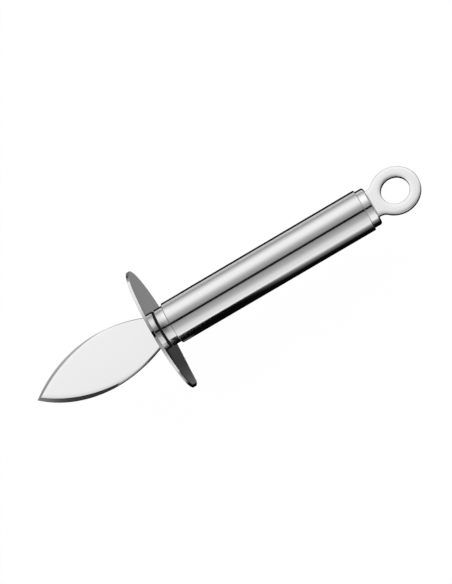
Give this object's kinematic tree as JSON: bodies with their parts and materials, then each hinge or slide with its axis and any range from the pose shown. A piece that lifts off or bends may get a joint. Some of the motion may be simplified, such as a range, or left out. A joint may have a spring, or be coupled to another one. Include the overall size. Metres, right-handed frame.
{
  "type": "oyster knife",
  "caption": "Oyster knife with a leaf-shaped bevelled blade, a round hand guard, a round steel tube handle and a flat hanging ring.",
  "frame": {"origin": "centre of the hanging hole, halfway through the ring plate", "axes": "+X along the handle towards the blade's tip, +Z square to the flats of blade and ring, +Y across the blade"},
  "size_m": [0.1944, 0.0588, 0.0588],
  "materials": {
    "blade_steel": "satin, bevels ground",
    "guard_steel": "mirror polished",
    "gasket_rubber": "matt black",
    "plug_steel": "turned and fine brushed",
    "pin_steel": "plain drawn",
    "tube_steel": "fine brushed round the tube",
    "ring_steel": "satin with polished edges"
  },
  "bodies": {
    "root": {"blade": "blade_steel", "hand_guard": "guard_steel", "guard_gasket": "gasket_rubber", "front_plug": "plug_steel", "tang_pins": "pin_steel", "handle_tube": "tube_steel", "rear_plug": "plug_steel", "ring_pin": "pin_steel", "hanging_ring": "ring_steel"}
  },
  "joints": []
}
